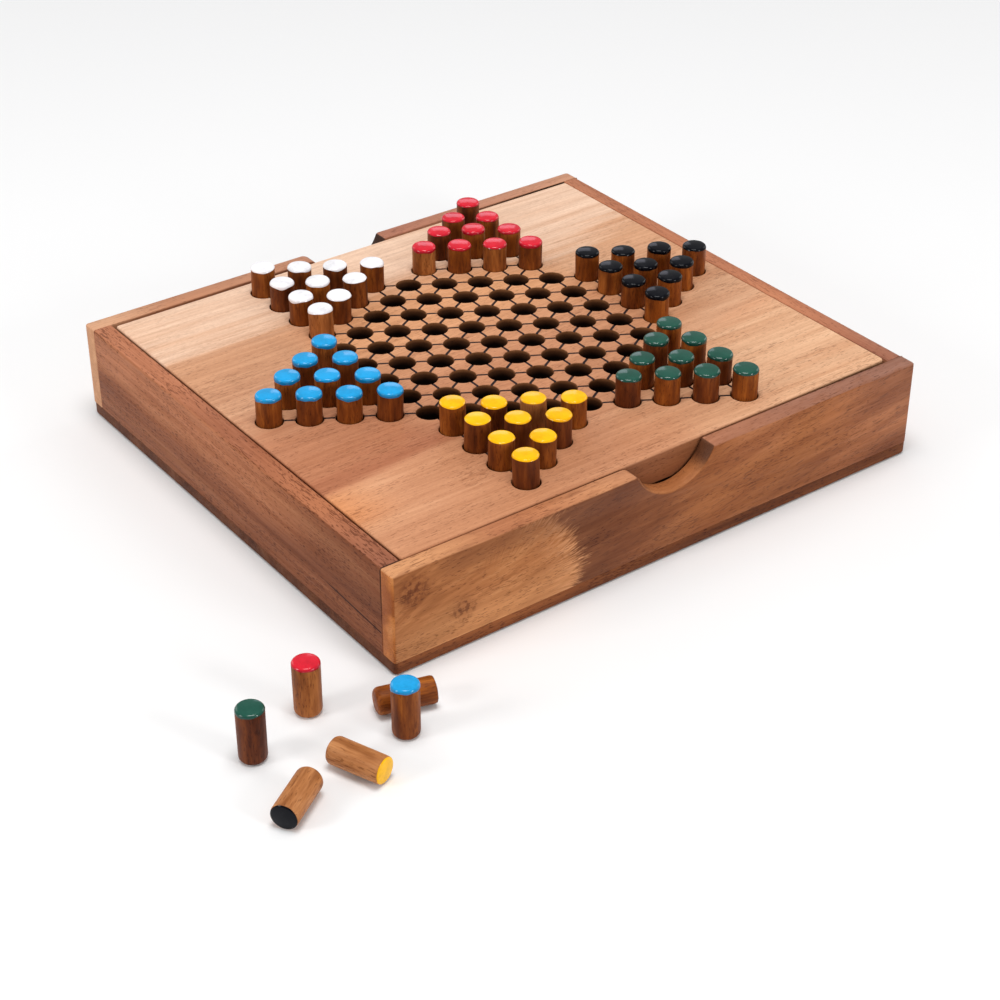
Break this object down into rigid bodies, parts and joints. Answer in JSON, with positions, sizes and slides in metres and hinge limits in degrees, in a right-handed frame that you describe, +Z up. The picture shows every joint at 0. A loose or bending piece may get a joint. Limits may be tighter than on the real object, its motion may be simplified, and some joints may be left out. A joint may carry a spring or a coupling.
{
  "type": "chinese checkers board",
  "caption": "Shallow wooden box with a lift-out playing board, drilled in a six-armed star, coloured pegs standing in its arms and a spare peg of each colour beside it.",
  "frame": {"origin": "centre of the base panel's underside, on the table", "axes": "+X along the front wall, +Y from the front wall to the back wall, +Z up"},
  "size_m": [0.3211, 0.2684, 0.0532],
  "materials": {
    "base_wood": "dark brown hardwood, satin oil",
    "front_wall_wood": "honey to reddish-brown hardwood, satin oil",
    "back_wall_wood": "light to medium brown hardwood, satin oil",
    "left_wall_wood": "reddish-brown hardwood, satin oil",
    "right_wall_wood": "reddish-brown hardwood, satin oil",
    "board_wood": "light tan hardwood with pinkish-brown streaks, satin oil",
    "ledge_wood": "plain sanded hardwood",
    "peg_wood": "brown hardwood dowel, satin",
    "black_peg": "brown wooden dowel, its top end dipped in glossy black paint",
    "red_peg": "brown wooden dowel, its top end dipped in glossy red paint",
    "white_peg": "brown wooden dowel, its top end dipped in glossy white paint",
    "blue_peg": "brown wooden dowel, its top end dipped in glossy blue paint",
    "yellow_peg": "brown wooden dowel, its top end dipped in glossy yellow paint",
    "green_peg": "brown wooden dowel, its top end dipped in glossy green paint"
  },
  "bodies": {
    "box": {"base_panel": "base_wood", "front_wall": "front_wall_wood", "back_wall": "back_wall_wood", "left_wall": "left_wall_wood", "right_wall": "right_wall_wood", "left_ledge": "ledge_wood", "right_ledge": "ledge_wood"},
    "playing_board": {"playing_board": "board_wood"},
    "black_peg_1": {"black_peg_1": "black_peg"},
    "black_peg_2": {"black_peg_2": "black_peg"},
    "black_peg_3": {"black_peg_3": "black_peg"},
    "black_peg_4": {"black_peg_4": "black_peg"},
    "black_peg_5": {"black_peg_5": "black_peg"},
    "black_peg_6": {"black_peg_6": "black_peg"},
    "black_peg_7": {"black_peg_7": "black_peg"},
    "red_peg_1": {"red_peg_1": "red_peg"},
    "red_peg_2": {"red_peg_2": "red_peg"},
    "red_peg_3": {"red_peg_3": "red_peg"},
    "red_peg_4": {"red_peg_4": "red_peg"},
    "red_peg_5": {"red_peg_5": "red_peg"},
    "red_peg_6": {"red_peg_6": "red_peg"},
    "red_peg_7": {"red_peg_7": "red_peg"},
    "white_peg_1": {"white_peg_1": "white_peg"},
    "white_peg_2": {"white_peg_2": "white_peg"},
    "white_peg_3": {"white_peg_3": "white_peg"},
    "white_peg_4": {"white_peg_4": "white_peg"},
    "white_peg_5": {"white_peg_5": "white_peg"},
    "white_peg_6": {"white_peg_6": "white_peg"},
    "white_peg_7": {"white_peg_7": "white_peg"},
    "blue_peg_1": {"blue_peg_1": "blue_peg"},
    "blue_peg_2": {"blue_peg_2": "blue_peg"},
    "blue_peg_3": {"blue_peg_3": "blue_peg"},
    "blue_peg_4": {"blue_peg_4": "blue_peg"},
    "blue_peg_5": {"blue_peg_5": "blue_peg"},
    "blue_peg_6": {"blue_peg_6": "blue_peg"},
    "blue_peg_7": {"blue_peg_7": "blue_peg"},
    "yellow_peg_1": {"yellow_peg_1": "yellow_peg"},
    "yellow_peg_2": {"yellow_peg_2": "yellow_peg"},
    "yellow_peg_3": {"yellow_peg_3": "yellow_peg"},
    "yellow_peg_4": {"yellow_peg_4": "yellow_peg"},
    "yellow_peg_5": {"yellow_peg_5": "yellow_peg"},
    "yellow_peg_6": {"yellow_peg_6": "yellow_peg"},
    "yellow_peg_7": {"yellow_peg_7": "yellow_peg"},
    "green_peg_1": {"green_peg_1": "green_peg"},
    "green_peg_2": {"green_peg_2": "green_peg"},
    "green_peg_3": {"green_peg_3": "green_peg"},
    "green_peg_4": {"green_peg_4": "green_peg"},
    "green_peg_5": {"green_peg_5": "green_peg"},
    "green_peg_6": {"green_peg_6": "green_peg"},
    "green_peg_7": {"green_peg_7": "green_peg"},
    "red_spare_peg": {"red_spare_peg": "red_peg"},
    "green_spare_peg": {"green_spare_peg": "green_peg"},
    "blue_spare_peg": {"blue_spare_peg": "blue_peg"},
    "white_spare_peg": {"white_spare_peg": "white_peg"},
    "yellow_spare_peg": {"yellow_spare_peg": "yellow_peg"},
    "black_spare_peg": {"black_spare_peg": "black_peg"}
  },
  "joints": [
    {"name": "board_lift", "type": "slide", "parent": "box", "child": "playing_board", "axis": [0, 0, 1], "range_m": [0, 0.06]},
    {"name": "black_peg_1_pull", "type": "slide", "parent": "playing_board", "child": "black_peg_1", "axis": [0, 0, 1], "range_m": [0, 0.025]},
    {"name": "black_peg_2_pull", "type": "slide", "parent": "playing_board", "child": "black_peg_2", "axis": [0, 0, 1], "range_m": [0, 0.025]},
    {"name": "black_peg_3_pull", "type": "slide", "parent": "playing_board", "child": "black_peg_3", "axis": [0, 0, 1], "range_m": [0, 0.025]},
    {"name": "black_peg_4_pull", "type": "slide", "parent": "playing_board", "child": "black_peg_4", "axis": [0, 0, 1], "range_m": [0, 0.025]},
    {"name": "black_peg_5_pull", "type": "slide", "parent": "playing_board", "child": "black_peg_5", "axis": [0, 0, 1], "range_m": [0, 0.025]},
    {"name": "black_peg_6_pull", "type": "slide", "parent": "playing_board", "child": "black_peg_6", "axis": [0, 0, 1], "range_m": [0, 0.025]},
    {"name": "black_peg_7_pull", "type": "slide", "parent": "playing_board", "child": "black_peg_7", "axis": [0, 0, 1], "range_m": [0, 0.025]},
    {"name": "red_peg_1_pull", "type": "slide", "parent": "playing_board", "child": "red_peg_1", "axis": [0, 0, 1], "range_m": [0, 0.025]},
    {"name": "red_peg_2_pull", "type": "slide", "parent": "playing_board", "child": "red_peg_2", "axis": [0, 0, 1], "range_m": [0, 0.025]},
    {"name": "red_peg_3_pull", "type": "slide", "parent": "playing_board", "child": "red_peg_3", "axis": [0, 0, 1], "range_m": [0, 0.025]},
    {"name": "red_peg_4_pull", "type": "slide", "parent": "playing_board", "child": "red_peg_4", "axis": [0, 0, 1], "range_m": [0, 0.025]},
    {"name": "red_peg_5_pull", "type": "slide", "parent": "playing_board", "child": "red_peg_5", "axis": [0, 0, 1], "range_m": [0, 0.025]},
    {"name": "red_peg_6_pull", "type": "slide", "parent": "playing_board", "child": "red_peg_6", "axis": [0, 0, 1], "range_m": [0, 0.025]},
    {"name": "red_peg_7_pull", "type": "slide", "parent": "playing_board", "child": "red_peg_7", "axis": [0, 0, 1], "range_m": [0, 0.025]},
    {"name": "white_peg_1_pull", "type": "slide", "parent": "playing_board", "child": "white_peg_1", "axis": [0, 0, 1], "range_m": [0, 0.025]},
    {"name": "white_peg_2_pull", "type": "slide", "parent": "playing_board", "child": "white_peg_2", "axis": [0, 0, 1], "range_m": [0, 0.025]},
    {"name": "white_peg_3_pull", "type": "slide", "parent": "playing_board", "child": "white_peg_3", "axis": [0, 0, 1], "range_m": [0, 0.025]},
    {"name": "white_peg_4_pull", "type": "slide", "parent": "playing_board", "child": "white_peg_4", "axis": [0, 0, 1], "range_m": [0, 0.025]},
    {"name": "white_peg_5_pull", "type": "slide", "parent": "playing_board", "child": "white_peg_5", "axis": [0, 0, 1], "range_m": [0, 0.025]},
    {"name": "white_peg_6_pull", "type": "slide", "parent": "playing_board", "child": "white_peg_6", "axis": [0, 0, 1], "range_m": [0, 0.025]},
    {"name": "white_peg_7_pull", "type": "slide", "parent": "playing_board", "child": "white_peg_7", "axis": [0, 0, 1], "range_m": [0, 0.025]},
    {"name": "blue_peg_1_pull", "type": "slide", "parent": "playing_board", "child": "blue_peg_1", "axis": [0, 0, 1], "range_m": [0, 0.025]},
    {"name": "blue_peg_2_pull", "type": "slide", "parent": "playing_board", "child": "blue_peg_2", "axis": [0, 0, 1], "range_m": [0, 0.025]},
    {"name": "blue_peg_3_pull", "type": "slide", "parent": "playing_board", "child": "blue_peg_3", "axis": [0, 0, 1], "range_m": [0, 0.025]},
    {"name": "blue_peg_4_pull", "type": "slide", "parent": "playing_board", "child": "blue_peg_4", "axis": [0, 0, 1], "range_m": [0, 0.025]},
    {"name": "blue_peg_5_pull", "type": "slide", "parent": "playing_board", "child": "blue_peg_5", "axis": [0, 0, 1], "range_m": [0, 0.025]},
    {"name": "blue_peg_6_pull", "type": "slide", "parent": "playing_board", "child": "blue_peg_6", "axis": [0, 0, 1], "range_m": [0, 0.025]},
    {"name": "blue_peg_7_pull", "type": "slide", "parent": "playing_board", "child": "blue_peg_7", "axis": [0, 0, 1], "range_m": [0, 0.025]},
    {"name": "yellow_peg_1_pull", "type": "slide", "parent": "playing_board", "child": "yellow_peg_1", "axis": [0, 0, 1], "range_m": [0, 0.025]},
    {"name": "yellow_peg_2_pull", "type": "slide", "parent": "playing_board", "child": "yellow_peg_2", "axis": [0, 0, 1], "range_m": [0, 0.025]},
    {"name": "yellow_peg_3_pull", "type": "slide", "parent": "playing_board", "child": "yellow_peg_3", "axis": [0, 0, 1], "range_m": [0, 0.025]},
    {"name": "yellow_peg_4_pull", "type": "slide", "parent": "playing_board", "child": "yellow_peg_4", "axis": [0, 0, 1], "range_m": [0, 0.025]},
    {"name": "yellow_peg_5_pull", "type": "slide", "parent": "playing_board", "child": "yellow_peg_5", "axis": [0, 0, 1], "range_m": [0, 0.025]},
    {"name": "yellow_peg_6_pull", "type": "slide", "parent": "playing_board", "child": "yellow_peg_6", "axis": [0, 0, 1], "range_m": [0, 0.025]},
    {"name": "yellow_peg_7_pull", "type": "slide", "parent": "playing_board", "child": "yellow_peg_7", "axis": [0, 0, 1], "range_m": [0, 0.025]},
    {"name": "green_peg_1_pull", "type": "slide", "parent": "playing_board", "child": "green_peg_1", "axis": [0, 0, 1], "range_m": [0, 0.025]},
    {"name": "green_peg_2_pull", "type": "slide", "parent": "playing_board", "child": "green_peg_2", "axis": [0, 0, 1], "range_m": [0, 0.025]},
    {"name": "green_peg_3_pull", "type": "slide", "parent": "playing_board", "child": "green_peg_3", "axis": [0, 0, 1], "range_m": [0, 0.025]},
    {"name": "green_peg_4_pull", "type": "slide", "parent": "playing_board", "child": "green_peg_4", "axis": [0, 0, 1], "range_m": [0, 0.025]},
    {"name": "green_peg_5_pull", "type": "slide", "parent": "playing_board", "child": "green_peg_5", "axis": [0, 0, 1], "range_m": [0, 0.025]},
    {"name": "green_peg_6_pull", "type": "slide", "parent": "playing_board", "child": "green_peg_6", "axis": [0, 0, 1], "range_m": [0, 0.025]},
    {"name": "green_peg_7_pull", "type": "slide", "parent": "playing_board", "child": "green_peg_7", "axis": [0, 0, 1], "range_m": [0, 0.025]},
    {"name": "red_spare_peg_lift", "type": "slide", "parent": "box", "child": "red_spare_peg", "axis": [0, 0, 1], "range_m": [0, 0.025]},
    {"name": "green_spare_peg_lift", "type": "slide", "parent": "box", "child": "green_spare_peg", "axis": [0, 0, 1], "range_m": [0, 0.025]},
    {"name": "blue_spare_peg_lift", "type": "slide", "parent": "box", "child": "blue_spare_peg", "axis": [0, 0, 1], "range_m": [0, 0.025]},
    {"name": "white_spare_peg_lift", "type": "slide", "parent": "box", "child": "white_spare_peg", "axis": [0, 0, 1], "range_m": [0, 0.025]},
    {"name": "yellow_spare_peg_lift", "type": "slide", "parent": "box", "child": "yellow_spare_peg", "axis": [0, 0, 1], "range_m": [0, 0.025]},
    {"name": "black_spare_peg_lift", "type": "slide", "parent": "box", "child": "black_spare_peg", "axis": [0, 0, 1], "range_m": [0, 0.025]}
  ]
}
